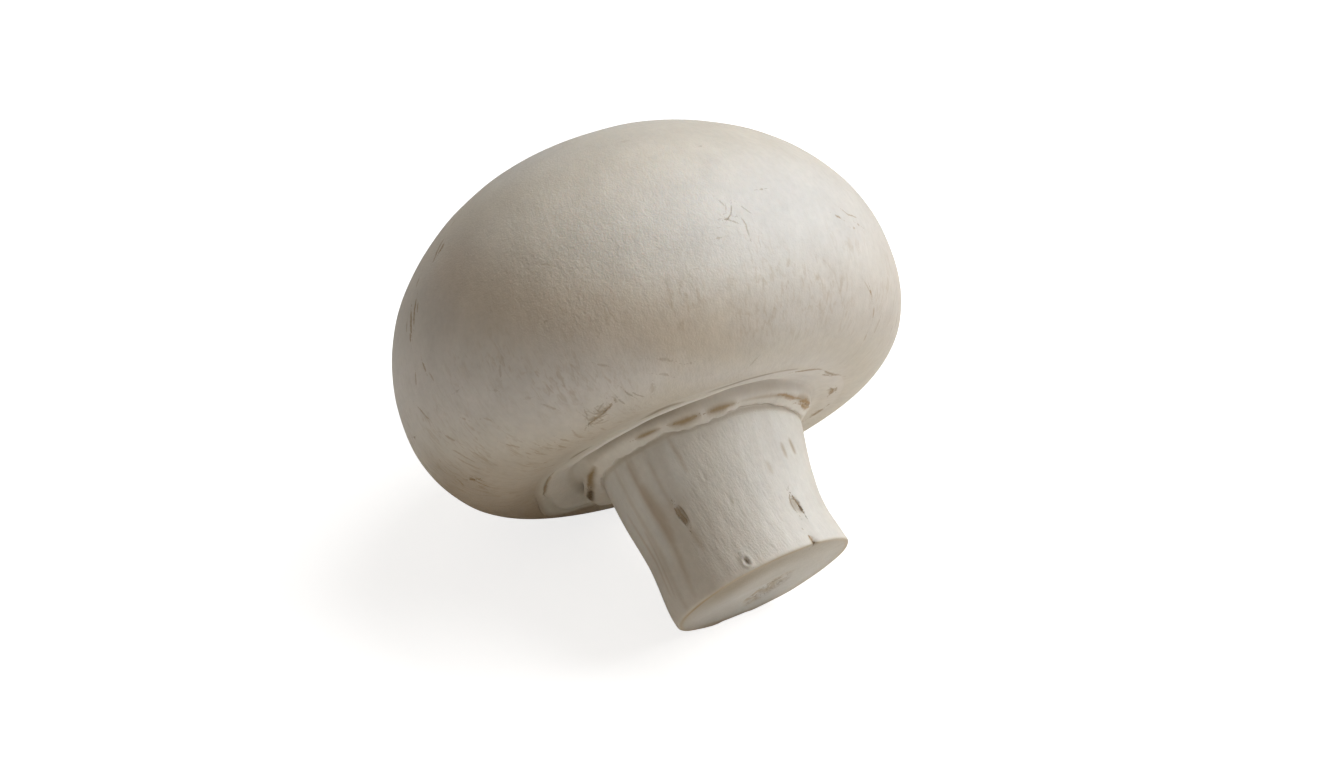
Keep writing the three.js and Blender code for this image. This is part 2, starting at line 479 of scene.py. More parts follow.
def alongLine(line, which):
    # for the points in which: share of the way along the line, signed mm beside it, and mm from it
    middleArc = sum(p[1] for p in line) / len(line)
    middleRadius = max(0.5, float(np.interp(middleArc, arc, crisp[:, 0])))
    flat = lambda a, d: (np.radians(turnApart(a, line[0][0])) * middleRadius, d)
    knots = np.array([flat(a, d) for a, d in line])
    px, py = flat(azimuth[which], arcOf[which])
    lengths = np.hypot(*np.diff(knots, axis=0).T)
    before = np.r_[0, np.cumsum(lengths)]
    best = np.full(len(px), 99.0)
    share = np.zeros(len(px))
    beside = np.zeros(len(px))
    for k, ((ax, ay), (bx, by)) in enumerate(zip(knots[:-1], knots[1:])):
        ex, ey = (bx - ax) / lengths[k], (by - ay) / lengths[k]
        run = (px - ax) * ex + (py - ay) * ey
        off = (px - ax) * ey - (py - ay) * ex
        held = np.clip(run, 0, lengths[k])
        away = np.hypot(run - held, off)
        closer = away < best
        run = run if len(line) == 2 else np.where(run < 0, run if k == 0 else 0, run)
        run = run if k == len(lengths) - 1 else np.minimum(run, lengths[k])
        share = np.where(closer, (before[k] + run) / before[-1], share)
        beside = np.where(closer, np.where(off < 0, -1, 1) * np.where(run == held, away, abs(off)), beside)
        best = np.minimum(best, away)
    return share, beside, best


def paintLine(colour, halfWidth, strength, line, left=1.0):
    # a soft line that fades towards its ends; left makes that side of it narrower or wider
    share, beside, away = alongLine(line, slice(None))
    ends = np.clip(4 * share * (1 - share), 0, 1) ** 0.4
    width = halfWidth * np.where(beside > 0, left, 1) * (0.35 + 0.65 * ends)
    paint(colour, strength * ends * np.exp(-((away / width) ** 2)))


def paintWash(colour, strength, middle, width, far, spread):
    # a soft wash about one place of the cap, its azimuth and mm from the crown, each with its reach
    paint(colour, strength * side(middle, width) * hump(wandering, far, spread))


def placed(line, measure):
    # a line whose second numbers are in a measure of their own, turned to mm from the crown
    return [(a, measure(d)) for a, d in line]


def shaft(mmDown):
    return underArc + mmDown


def pastRim(mmPast):
    return rimArc + mmPast


wander = noiseAt(points / 7, 11)
wandering = arcOf + wander  # mm from the crown, with an uneven edge

# the cap: cream, pale places with a painted highlight, painted shade, the band where it turns over, partly
# painted shade, and the pale roll below, partly painted light from below
paint("paleAndLit", 0.8 * (1 - smooth(7, 21, arcOf + 4 * wander)))
# painted highlight where the key light falls strongest on the dome
paintWash("paleAndLit", 0.95, -46, 42, 30.5, 8.5)
# painted rim light along the far edge of the dome
paintWash("paleAndLit", 0.85, -164, 24, 28, 10)
# painted shade on the dark side of the dome and under the highlight on the right
paintWash("paintedShade", 0.75, -132, 12, 27, 5)
paintWash("paintedShade", 0.45, -8, 24, 29, 9)
# the band where the cap turns over: tan, darkened as painted shade along the core of the shadow
turning = [(-136, 22), (-121, 29.4), (-106, 34.2), (-91, 37.4), (-78, 39.2), (-60, 39.8)]
paintLine("shoulderAndShade", 3.8, 0.64, turning)
# painted shade along the band below the highlight
paintLine("paintedShade", 3.4, 0.6, [(-72, 39.5), (-55, 39.3), (-35, 39), (-12, 39), (8, 41)])
paintWash("shoulderAndShade", 0.6, 90, 75, 38, 5)
# the pale roll, lightened as painted light from below
broadRoll = [(-176, 31), (-150, 32), (-135, 35.3), (-119, 38.4), (-100, 40.6), (-88, 41.5)]
paintLine("paleLitMargin", 4.4, 0.85, broadRoll)
paintWash("paleAndLit", 0.5, 18, 20, 40, 5)
# narrower bands of the roll lightened the same way, as painted light from below
paint("paleLitMargin", 0.3 * side(0, 62) * smooth(43, 47, wandering))
narrowRoll = [(-106, 40.6), (-88, 41.8), (-75, 44.2), (-60, 44.9), (-45, 44.8)]
narrowRoll += [(-30, 45.5), (-10, 47.5), (5, 48)]
paintLine("paleLitMargin", 1.9, 0.55, narrowRoll)

# dried fibrils, most of all on the side that lay low: mm from the crown where they start, then how strong
tanStart = [(-180, 35.5), (-165, 35.5), (-150, 37.5), (-135, 40), (-120, 42.5), (-60, 43), (100, 39)]
tanStrength = [
    (-180, 0.75), (-165, 0.62), (-150, 0.42), (-135, 0.32), (-120, 0.32),
    (-105, 0.3), (-85, 0.08), (40, 0), (120, 0.6), (145, 0.95),
]
tanShare = around(tanStrength, azimuth) * smooth(0, 4.5, wandering - around(tanStart, azimuth))
tanShare = tanShare * (1 - smooth(capArc - 0.2, capArc + 2.2, arcOf))
paint("tan", tanShare)

# the torn veil: pale lip with a painted highlight, painted shade in the trough, then the collar down to its
# torn edge
lipHighlightShare = smooth(under(4.2), under(4.9), arcOf) * (1 - smooth(under(6.2), under(6.9), arcOf))
lipHighlightShare = lipHighlightShare * (1 - soft) * (1 - folded)
# painted shade down in the trough, less on the near side
shade = smooth(under(6.3), under(7.2), arcOf) * (1 - smooth(under(11.5), under(14.2), arcOf))
shade = shade * (1 - 0.85 * side(-70, 24))
paint("veil", smooth(capArc + 2.0, capArc + 3, arcOf) * onUnder)
# painted light on the near side of the underside
paint("paleLitMargin", 0.7 * onUnder * side(-40, 48) * (1 - 0.6 * smooth(51.8, 52.8, arcOf)))
paint("troughShade", shade * (1 - 0.9 * soft) * (1 - 0.7 * folded))
# painted highlight along the lip's thin edge, on the lit faces of the collar and along the torn edge's rim
paint("lipHighlight", lipHighlightShare)
lit = hump(arcOf, 50, 1.0) + hump(arcOf, 53.0, 0.7)
paint("lipHighlight", 0.6 * onUnder * lit * side(-68, 22))
paint("lipHighlight", 0.4 * onUnder * hump(arcOf, 52.8, 1.2) * side(-124, 18))
paint("lipHighlight", 0.8 * hump(down, -0.35, 0.25) * side(-84, 36))
paint("stem", smooth(-0.2, 0.3, down))
# painted shadow line just under the collar's torn edge, partly browned tissue
tornEdgeShadow = 0.3 + 0.6 * side(-45, 35) + 0.5 * side(-128, 28)
paint("creaseAndShadow", 0.6 * hump(down, -0.08, 0.17) * tornEdgeShadow)
lipCrease = [(-80, 47.8), (-77, 47.5), (-71.4, 47.3), (-65.6, 46.9), (-59.7, 46.7), (-53.8, 46.4)]
paintLine("creaseAndShadow", 0.22, 0.9, [*lipCrease, (-43.5, 46.1)])
# colour, half width in mm, strength, then the line as (azimuth, point of the underside)
veilLines = [
    # browned creases outside the lip and the pleat
    ("creaseAndShadow", 0.26, 0.85, [(-143.5, 1.8), (-137.8, 1.7), (-132.5, 2.1)]),
    ("creaseAndShadow", 0.4, 0.8, [(-109, 2.6), (-104, 1.9), (-98.9, 1.2), (-94, 1.1), (-89, 1.9)]),
    ("creaseAndShadow", 0.2, 0.7, [(-158, 2.6), (-166, 3), (-173, 3), (178, 3)]),
    # dried scraps of veil left on the collar
    ("patch", 0.36, 0.95, [(-153, 13.8), (-162, 14.3), (-173, 14.3), (176, 14.3), (166, 14.2)]),
    # painted shade in the hole at the collar's end
    ("shadedPit", 0.36, 1, [(171, 14.2), (163, 14.1), (155, 13.9)]),
    ("patch", 0.34, 0.8, [(-120, 14), (-113, 14.1), (-105.5, 14.3)]),
    ("patch", 0.44, 0.78, [(-102, 14.4), (-94, 14.4), (-84.5, 14.3)]),
    ("patch", 0.48, 0.85, [(-82.5, 14.3), (-76, 14.3), (-66, 14.4)]),
    ("patch", 0.28, 0.5, [(-64, 14), (-52, 14), (-38, 14), (-18, 14)]),
    ("patch", 0.4, 0.75, [(-24, 13.8), (-12, 13.8), (0, 13.7)]),
]
for colour, halfWidth, strength, line in veilLines:
    paintLine(colour, halfWidth, strength, placed(line, under))

# tan and pale bands down the stem, which start at the collar or in the fibres
streaky = noiseAt(np.c_[radial * 6, z0[:, None] * 0.05], 12)
paint("stemPale", 0.8 * onShaft * side(-42, 36))
paint("stemPale", 0.8 * onShaft * side(-114, 13) * (1 - smooth(2, 7, down)))
paint("stemPale", 0.6 * onShaft * side(-156, 16) * (1 - smooth(4, 10, down)))
paint("stemTan", 0.18 * onShaft * side(-120, 36) * smooth(3, 9, down))
paint("cut", 0.5 * onShaft * side(-14, 26) * smooth(5, 10, down))
paint("stemTan", 0.30 * smooth(0.1, 0.5, streaky) * onShaft * (0.25 + 0.75 * side(-140, 40)))
paintLine("stemTan", 1.1, 0.6, placed([(-131.5, 2.4), (-129.0, 5.4), (-129.5, 7.8)], shaft), 0.5)
# the same as for the veil, with the line as (azimuth, mm down the stem)
stemLines = [
    ("stemTan", 0.26, 0.5, [(-135.5, 0.1), (-134.4, 2.6), (-133.4, 5), (-131.5, 6.6)]),
    ("stemTan", 0.36, 0.4, [(-132.6, 6), (-131.6, 8.4), (-132, 10.6), (-134, 12.4)]),
    ("stemPale", 0.55, 0.6, [(-140, 0.5), (-139, 5), (-139.5, 9)]),
    ("stemTan", 0.2, 0.45, [(-105.4, 0.1), (-104.2, 0.9), (-102.8, 2), (-102, 3.4)]),
    ("stemTan", 0.22, 0.45, [(-157, 3.5), (-156, 7), (-155, 11)]),
    ("stemTan", 0.2, 0.45, [(-149, 5.5), (-150.5, 8), (-150, 11.5)]),
    ("stemTan", 0.24, 0.4, [(-115.8, 7.2), (-114.8, 8.4), (-113, 9.6)]),
    ("stemTan", 0.22, 0.35, [(-121, 1), (-120, 4), (-118.5, 6.4)]),
    ("stemPale", 0.4, 0.35, [(-124, 1), (-122, 3), (-121, 5)]),
    # healed slits
    ("patch", 0.22, 0.5, [(-40.8, 3), (-40.1, 3.8), (-39.3, 4.6)]),
    ("patch", 0.22, 0.7, [(-32.7, 2.7), (-30.8, 3.5), (-29.4, 4.3)]),
    ("patch", 0.2, 0.3, [(-56.2, 4.4), (-54.8, 5.1), (-54, 5.9)]),
]
for colour, halfWidth, strength, line in stemLines:
    paintLine(colour, halfWidth, strength, placed(line, shaft))

# the cut face: paler away from its rim, darker and browner within a few mm of the rim on the side near
# azimuth -95, and the rim itself yellows
insideRim = onCut * smooth(0.3, 1.5, inward)
paint("cut", onCut * smooth(0, 0.25, inward))
paint("paleAndLit", 0.8 * insideRim * side(90, 62))
paint("paleAndLit", 0.6 * insideRim * side(-178, 28))
paint("cutTan", (0.6 * side(-95, 75) + 0.25 * side(-122, 26)) * onCut * (1 - smooth(1.5, 6, inward)))
rimDark = (0.5 + 0.5 * side(-125, 70)) * (0.85 + 0.15 * np.sin(turn * 5 + 1))
paint("rim", rimDark * hump(inward, -0.06, 0.18))
paint("rim", 0.6 * side(125, 24) * hump(inward, 0.4, 0.5))
paint("hollow", 0.7 * hollow * smooth(-0.5, 0.3, noiseAt(points / 0.9, 13)))
# pits: brown scar tissue, with painted shade the deeper they go
paint("shadedPit", 0.65 * pitShade)


def store(name, values):
    # three numbers kept on each point
    layer = mesh.attributes.new(name, "FLOAT_VECTOR", "POINT")
    layer.data.foreach_set("vector", np.ascontiguousarray(values, dtype=np.float32).ravel())


# how strongly each kind of relief shows: leathery wrinkles, fibrils of the cap, fibres of the stem
leather = 0.25 + 0.75 * side(-95, 34) * hump(arcOf, 30, 7)
leather = leather * onCap * (1 - 0.7 * smooth(35, 40, arcOf))
fibrils = (smooth(26, 35, arcOf) * onCap + 0.7 * onUnder) * (1 - smooth(-0.5, 0, down))
brown = 2.4 * tanShare + 0.5 * hump(arcOf, 37, 4.5) + 0.1 * smooth(36, 42, arcOf)
brown = brown * (0.35 + 0.9 * smooth(-0.25, 0.35, noiseAt(alongSkin * (0.3, 0.3, 0.3), 21)))
store("flesh", flesh[:, :3])
store("relief", np.stack([leather, fibrils, onShaft], 1))
store("stain", np.stack([np.clip(brown, 0, 1) * onCap, hollow, np.zeros(vertexCount)], 1))
# places along the skin in mm to run the fibres along, the last number from crown to cut;
# the stem's fibres wind a little
barrel = np.where(onStem | onCut, stem["fibreRadius"], cap["radius"])[:, None]
wound = turn - stem["winding"] * down * onStem
store("grain", np.c_[np.stack([np.cos(wound), np.sin(wound)], 1) * barrel, arcOf])
print("colours painted")

# scratches, dried veil and other marks

# each kind has a tone on the material's ramp, and mm of groove
markKinds = {
    "hair": (0.14, 0.030),
    # holes: painted shade with some brown, and a shallow groove
    "hole": (0.02, 0.200),
    "smudge": (0.22, 0.004),
    "dot": (0.16, 0.015),
    "streak": (0.35, 0.010),
    "patch": (0.65, 0.015),
    "crust": (0.95, -0.060),
}
# kind, half width in mm, strength, then the line as (azimuth, mm from the crown)
capMarks = [
    # a hooked scratch and its hairs, high on the side
    ("hair", 0.08, 0.4, [(-65.6, 28.4), (-64.8, 29.1)]),
    ("hair", 0.07, 0.3, [(-64.4, 28.9), (-65, 29.6)]),
    ("hair", 0.09, 0.6, [(-63.2, 29.1), (-64.3, 30), (-65.5, 30.4)]),
    ("hair", 0.12, 0.6, [(-64.9, 30.3), (-66.2, 30.35)]),
    ("hair", 0.09, 0.5, [(-65.4, 30.4), (-64.4, 30.6), (-63.4, 30.9)]),
    ("hair", 0.08, 0.45, [(-61.2, 29.3), (-60.3, 29.8), (-59.5, 30.2)]),
    ("hair", 0.09, 0.5, [(-62.3, 30.4), (-61.8, 30.9), (-62, 31.5), (-62, 32.2)]),
    ("hair", 0.08, 0.25, [(-59.9, 32.2), (-60.2, 33.3)]),
    ("dot", 0.16, 0.4, [(-69.3, 31.8), (-68.5, 31.8)]),
    ("dot", 0.12, 0.3, [(-67.5, 30.2), (-66.8, 30.2)]),
    ("dot", 0.15, 0.55, [(-54.5, 28), (-53.8, 28)]),
    # fine scratches nearer the edge
    ("streak", 0.09, 0.75, [(-33.2, 30.1), (-30.9, 30.7), (-29.2, 30.7), (-27.5, 30.8)]),
    ("streak", 0.13, 0.85, [(-36.5, 30.85), (-35.6, 31), (-34.7, 31.15)]),
    ("streak", 0.14, 0.75, [(-28.5, 31.4), (-27.7, 31.5)]),
    ("streak", 0.14, 0.6, [(-31.2, 31.9), (-30.4, 31.9)]),
    ("smudge", 0.12, 0.12, [(-46.9, 34.3), (-44, 35.1), (-41.8, 36), (-41, 37.1)]),
    # the frayed crack low on the side, with hairs off it
    ("streak", 0.36, 0.65, [(-113.4, 43.7), (-109.9, 43.1), (-106.8, 42.9), (-103.8, 42.4)]),
    ("hair", 0.15, 0.65, [(-112.6, 43.5), (-110.2, 43.3), (-108.3, 43.2), (-105.4, 42.8)]),
    ("hair", 0.14, 0.65, [(-107, 43), (-105, 42.75), (-103.8, 42.5)]),
    ("hair", 0.12, 0.4, [(-108.6, 42.7), (-107, 42.3), (-105.6, 42)]),
    ("hair", 0.1, 0.35, [(-112.3, 43.1), (-111.2, 42.3), (-110.6, 41.7)]),
    ("hair", 0.1, 0.4, [(-112.6, 43.4), (-114, 43.9)]),
    ("hair", 0.08, 0.35, [(-111, 43.3), (-111.9, 42.8), (-112.2, 42.2)]),
    ("hair", 0.08, 0.35, [(-109.2, 43), (-110, 42.5), (-110.2, 42.1)]),
    ("hair", 0.08, 0.35, [(-110.6, 43.5), (-109.6, 43.9), (-109, 43.9)]),
    ("hair", 0.08, 0.3, [(-113, 43.6), (-113.1, 44.3)]),
    ("smudge", 0.45, 0.16, [(-112, 42.9), (-108.6, 42.5), (-106, 42.2)]),
    ("smudge", 0.14, 0.4, [(-112, 43.9), (-110, 44.3), (-108, 44.3)]),
    # a branched line and dashes beside it
    ("hair", 0.13, 0.55, [(-99.4, 41.7), (-98.8, 42.2), (-98.2, 42.7)]),
    ("hair", 0.11, 0.45, [(-98, 42.2), (-97, 42.7), (-95.5, 43.3)]),
    ("hair", 0.12, 0.45, [(-101.8, 42.3), (-101.6, 42.8), (-101.2, 43.2)]),
    ("smudge", 0.26, 0.3, [(-92.2, 42.1), (-92.6, 42.6), (-93.3, 43.1)]),
    ("smudge", 0.15, 0.4, [(-90, 41.4), (-88.8, 41.6), (-87.8, 41.9)]),
    ("smudge", 0.18, 0.4, [(-89.2, 40), (-87.4, 40.3), (-85.8, 40.7)]),
    ("smudge", 0.16, 0.35, [(-102.2, 38.5), (-101.2, 38.8), (-100, 39.1)]),
    ("dot", 0.16, 0.35, [(-82.1, 41.4), (-81.3, 41.4)]),
    ("smudge", 0.12, 0.35, [(-64.9, 43.6), (-63.1, 42.8)]),
    # single flecks over the cap
    ("dot", 0.15, 0.45, [(174, 44.6), (175, 44.6)]),
    ("dot", 0.14, 0.35, [(-61, 21.7), (-60.2, 21.7)]),
    ("dot", 0.15, 0.3, [(-109.4, 33.8), (-108.3, 33.8)]),
    ("dot", 0.13, 0.25, [(-108.3, 30.1), (-107.3, 30.1)]),
    ("smudge", 0.2, 0.2, [(-79, 18), (-76, 18.1)]),
    ("smudge", 0.12, 0.3, [(-106.3, 29.1), (-104.5, 29.4), (-102.6, 30)]),
    ("smudge", 0.1, 0.25, [(-105, 33), (-103.8, 34.1)]),
    ("streak", 0.18, 1, [(-28.2, 37.3), (-27.4, 37.8)]),
    ("streak", 0.1, 0.5, [(-30.8, 36.7), (-28.2, 37.5)]),
    ("streak", 0.12, 0.7, [(-25.3, 38.8), (-24.2, 39.7)]),
    ("streak", 0.14, 0.5, [(-23.6, 41.2), (-22.9, 41.9)]),
    ("smudge", 0.2, 0.35, [(-20, 39.6), (-19.5, 41)]),
    # streaks that run down the far shoulder
    ("streak", 0.24, 1, [(-136.2, 21), (-136.8, 21.5), (-137.6, 21.9)]),
    ("streak", 0.2, 0.85, [(-137.6, 20.2), (-138.6, 21), (-139.2, 22.6)]),
    ("streak", 0.16, 0.6, [(-136.6, 18), (-137, 18.6)]),
    ("streak", 0.16, 0.55, [(-146, 22.8), (-146.8, 23.8)]),
    ("streak", 0.22, 1, [(-145, 25.2), (-145.4, 26.6), (-145.6, 27.6)]),
    ("streak", 0.26, 1, [(-147.4, 26), (-147.1, 27.2), (-146.9, 28.2)]),
    ("streak", 0.18, 0.95, [(-147.6, 28), (-147.6, 28.8)]),
    ("streak", 0.18, 0.85, [(-143.7, 25.8), (-143.8, 26.8)]),
    ("streak", 0.15, 0.6, [(-149.6, 26.4), (-149.8, 27.6)]),
    ("streak", 0.15, 0.75, [(-144.1, 31.2), (-143.9, 32.1)]),
    ("streak", 0.12, 0.45, [(-142.8, 32.4), (-142.2, 33.3)]),
    ("streak", 0.15, 0.55, [(-148.4, 31.4), (-149.9, 32.4)]),
    ("streak", 0.15, 0.65, [(-153, 33.9), (-152, 34.5), (-150.8, 35.4)]),
    ("dot", 0.2, 0.85, [(-164.7, 35), (-163.8, 35.1)]),
    # faint smears on the pale band
    ("dot", 0.14, 0.35, [(-136.9, 35.1), (-136.1, 35.1)]),
    ("smudge", 0.16, 0.3, [(-122.5, 35.2), (-123.9, 36.1)]),
    ("smudge", 0.18, 0.25, [(-127.2, 36.7), (-126.2, 36.9)]),
    ("smudge", 0.22, 0.2, [(-121.4, 38.5), (-119.8, 38.7)]),
    ("streak", 0.18, 0.55, [(-149.2, 37.2), (-148.4, 37.6), (-147.4, 38.1)]),
    ("streak", 0.15, 0.45, [(-139.8, 37.1), (-139, 37.4)]),
    ("streak", 0.13, 0.35, [(-134.2, 38.1), (-133.4, 38.2), (-132.8, 38.7)]),
    ("smudge", 0.16, 0.35, [(-118.6, 39.6), (-116.6, 40.6)]),
    # tan dashes where the fibrils have dried, low on the left
    ("patch", 0.4, 1, [(-158.5, 41.1), (-156.8, 41.4)]),
    ("hair", 0.22, 0.7, [(-158.3, 41.1), (-157, 41.4)]),
    ("streak", 0.17, 0.95, [(-157.6, 41.5), (-158, 42), (-158.4, 42.8)]),
    ("streak", 0.16, 0.85, [(-155.8, 41.3), (-156, 42.2)]),
    ("streak", 0.17, 0.85, [(-162, 40.1), (-163, 40.5), (-164.2, 40.8)]),
    ("streak", 0.14, 0.6, [(-159.6, 41.8), (-161, 42.8)]),
    ("streak", 0.14, 0.55, [(-151, 38.4), (-149.6, 39.4), (-148.6, 40.5)]),
    ("streak", 0.16, 0.45, [(-152.4, 39.2), (-151, 40.4), (-150.4, 41.2)]),
    ("streak", 0.16, 0.5, [(-135.2, 40.9), (-133.3, 41.9)]),
    ("streak", 0.16, 0.5, [(-128.9, 43.2), (-128.2, 44.2)]),
    ("streak", 0.18, 0.55, [(-123, 43.5), (-122.6, 44.4)]),
    ("streak", 0.18, 0.6, [(-125.8, 44.1), (-126.8, 45.1)]),
    ("streak", 0.18, 0.45, [(-132.6, 43.4), (-131.8, 44.3)]),
    ("streak", 0.18, 0.6, [(-138.2, 45.1), (-137.3, 45.3)]),
    ("streak", 0.16, 0.5, [(-163.6, 44.6), (-163.3, 45.2)]),
    ("streak", 0.16, 0.4, [(-118, 43.2), (-119.8, 45)]),
    ("streak", 0.16, 0.4, [(-112.6, 45), (-114.2, 45.9)]),
    # dashes where the veil came away, under the far side
    ("patch", 0.3, 0.95, [(-43, 47.2), (-38, 46.9), (-34, 46.6), (-29.5, 46.4)]),
    ("patch", 0.3, 0.8, [(-26, 46.8), (-21, 47), (-16, 47), (-11, 46.5)]),
    ("patch", 0.2, 0.75, [(-23, 47.5), (-17, 47.4)]),
    ("patch", 0.42, 0.95, [(3, 48.1), (8, 47.9), (12, 48)]),
    ("patch", 0.22, 0.8, [(4, 47.5), (9, 47.4)]),
    ("patch", 0.6, 0.95, [(36.5, 47.7), (32.5, 47.5), (29, 47.3)]),
]
# the same, with the line as (azimuth, point of the underside)
veilMarks = [
    # painted shade in the hole at the collar's end
    ("hole", 0.3, 0.9, [(169, 14.2), (163.5, 14.1), (159, 13.9)]),
    # brown specks in the pleat's crease
    ("streak", 0.17, 0.7, [(-156, 2.9), (-163, 3.2), (-170, 3.3)]),
    ("streak", 0.22, 0.8, [(-170, 3.2), (-177, 3), (179.5, 2.6)]),
    ("dot", 0.26, 0.8, [(-178.5, 2.5), (178, 2.4)]),
    # the dark middle of the scraps of veil, then the rough crust at their end
    ("patch", 0.27, 0.8, [(-160, 14.2), (-170, 14.2), (-178, 14), (170, 13.6)]),
    ("patch", 0.24, 0.5, [(-118, 14), (-113, 14.1), (-108.5, 14.2)]),
    ("patch", 0.3, 0.65, [(-99.5, 14.4), (-93, 14.4), (-86.5, 14.3)]),
    ("patch", 0.34, 0.5, [(-80.5, 14.3), (-75, 14.2), (-69.5, 14.3)]),
    ("crust", 0.14, 0.7, [(-40, 13.9), (-34, 13.8), (-27, 14.2), (-18, 14)]),
    ("crust", 0.24, 0.6, [(-41.5, 13.6), (-36, 13.8), (-31, 14.4), (-26, 14.5)]),
    ("crust", 0.3, 0.9, [(-20, 14.7), (-14.5, 14.2), (-6, 13.9), (2, 13.5)]),
    ("crust", 0.24, 0.9, [(-15.5, 14.9), (-9, 14.9), (-2, 14.6), (5, 13.9)]),
    # painted shade in small pits of the crust
    ("hole", 0.1, 0.8, [(-4.6, 14.2), (-3.6, 14.3)]),
    ("hole", 0.09, 0.75, [(-0.2, 13.9), (0.6, 14.1)]),
    ("hole", 0.08, 0.7, [(-9.4, 14.4), (-8.6, 14.5)]),
    ("hair", 0.12, 0.8, [(-12, 14.6), (-5, 14.3), (1, 13.9)]),
    ("hair", 0.13, 0.8, [(-8, 13.7), (-4, 14.8)]),
    ("hair", 0.13, 0.8, [(-1, 13.3), (3, 14.3)]),
    ("hair", 0.12, 0.8, [(-15, 14.7), (-11, 14.9)]),
]
# bruises and slits, with the line as (azimuth, mm down the stem)
stemMarks = [
    ("streak", 0.3, 0.6, [(-117.2, 5.4), (-116.4, 7)]),
    ("hair", 0.13, 0.8, [(-118.2, 5.3), (-118.5, 6.2), (-117.2, 7.1)]),
    ("hair", 0.09, 0.7, [(-115.6, 5.3), (-114, 6.1), (-114.2, 7)]),
    ("hair", 0.06, 0.6, [(-116.8, 5.6), (-116.2, 6.3), (-115.4, 7)]),
    ("hair", 0.18, 0.85, [(-48.2, 7.9), (-50.2, 8.7), (-49.6, 9.7)]),
    ("streak", 0.24, 0.35, [(-48, 8.2), (-46.6, 9.7)]),
    # painted shade in the hole of the ring scar
    ("hole", 0.13, 0.7, [(-45, 9), (-45, 9.8)]),
    ("hair", 0.22, 1, [(-46.8, 8), (-44.6, 8.9), (-44.9, 10)]),
    # painted shade in the small low hole
    ("hole", 0.13, 0.5, [(-94.4, 11.75), (-93.5, 12.2)]),
]
# the nick, as (azimuth, mm past the rim)
rimMarks = [
    ("streak", 0.26, 1, [(-51.7, -1.1), (-50.7, -0.5), (-49.6, 0.1)]),
    # painted shade in the nick
    ("hole", 0.14, 0.75, [(-50.4, -0.5), (-49.4, 0.2)]),
]
marks = []
for group, measure in ((capMarks, float), (veilMarks, under), (stemMarks, shaft), (rimMarks, pastRim)):
    marks += [(*look, placed(line, measure)) for *look, line in group]

# strays on the sides away from the lens, so that the skin is finished all round
strays = {"seed": 7, "scratches": 90, "scraps": 9}
stray = random.Random(strays["seed"])
for _ in range(strays["scratches"]):
    a = stray.uniform(-10, 185)
    d = stray.uniform(9, 46)
    length = stray.uniform(0.3, 2.4)
    bend = stray.uniform(-0.5, 0.5)
    heading = stray.gauss(math.pi / 2, 0.7)
    skinRadius = float(np.interp(d, arc, crisp[:, 0]))
    stepAzimuth = math.degrees(length * math.cos(heading) / skinRadius) / 2
    stepArc = length * math.sin(heading) / 2
    line = [(a - stepAzimuth, d - stepArc), (a + bend * 2, d + 0.2 * bend), (a + stepAzimuth, d + stepArc)]
    kind = stray.choice(["hair", "hair", "streak", "dot"])
    marks.append((kind, stray.uniform(0.05, 0.13), stray.uniform(0.3, 0.7), line))
for _ in range(strays["scraps"]):
    a = stray.uniform(30, 150)
    line = [(a, under(14.1)), (a + stray.uniform(4, 14), under(14.2))]
    marks.append(("patch", stray.uniform(0.15, 0.35), 0.8, line))

# each point of a sheet keeps the nearest mark: how far along and beside it the point lies, and its look
markLayers = 4
markFringe = 0.62  # mm beside a mark that still belong to it
markWindow = 2.0  # mm, beyond which a point knows nothing of it
markApart = 1.3  # mm that two marks of one sheet should lie apart
sheets = []
for _ in range(markLayers):
    sheets.append({
        "place": np.tile([0.5, 9.0, 0.1], (vertexCount, 1)),
        "look": np.zeros((vertexCount, 3)),
        "near": np.full(vertexCount, 9.0),
    })
for kind, halfWidth, strength, line in marks:
    tone, groove = markKinds[kind]
    arcs = [p[1] for p in line]
    nearby = (arcOf > min(arcs) - 1.1 * markWindow) & (arcOf < max(arcs) + 1.1 * markWindow)
    which = np.nonzero(nearby)[0]
    share, beside, away = alongLine(line, which)
    # marks that lie close together go on different sheets, so that none smears another
    inside = which[away < halfWidth + markFringe]
    crowding = [(sheet["near"][inside] < markApart).sum() for sheet in sheets]
    sheet = sheets[int(np.argmin(crowding))]
    mine = (away < markWindow) & (away < sheet["near"][which])
    which, share, beside, away = which[mine], share[mine], beside[mine], away[mine]
    inReach = 1.0 * (away < halfWidth + markFringe)
    sheet["near"][which] = away
    sheet["place"][which] = np.stack([share, beside, np.full(len(which), halfWidth)], 1)
    sheet["look"][which] = np.stack([strength * inReach, np.full(len(which), tone), groove * inReach], 1)
sheetNames = []
for k, sheet in enumerate(sheets):
    store(f"markPlace{k}", sheet["place"])
    store(f"markLook{k}", sheet["look"])
    sheetNames += [f"markPlace{k}", f"markLook{k}"]
print("marks laid out", len(marks))

# material

# Skin of a white button mushroom: grown, dry, finely fibrous flesh. It gives a soft satin glow where
# light grazes it and no clear reflection, and light goes a little way in, which warms the shaded side.
skinLook = {
    "roughness": 0.56,
    "glossSpread": 0.05,  # how far the roughness goes to and fro
    "ior": 1.42,  # plant tissue that is mostly water
    "subsurface": 0.14,
    "scatter": (1.9, 1.1, 0.7),  # mm that red, green and blue go in
    "leather": 0.028,  # mm of relief, and so are the next four
    "fibrils": 0.009,
    "ripples": 0.021,
    "tooth": 0.013,
    "cracks": 0.05,
    "mottle": 0.04,  # share of lightness, and so are the next two
    "speckle": 0.03,
    "streaks": 0.015,
    "dried": 0.6,  # strength of the tan fibrils
    "driedColour": "#A8906E",
    "crackColour": "#8A7659",
}
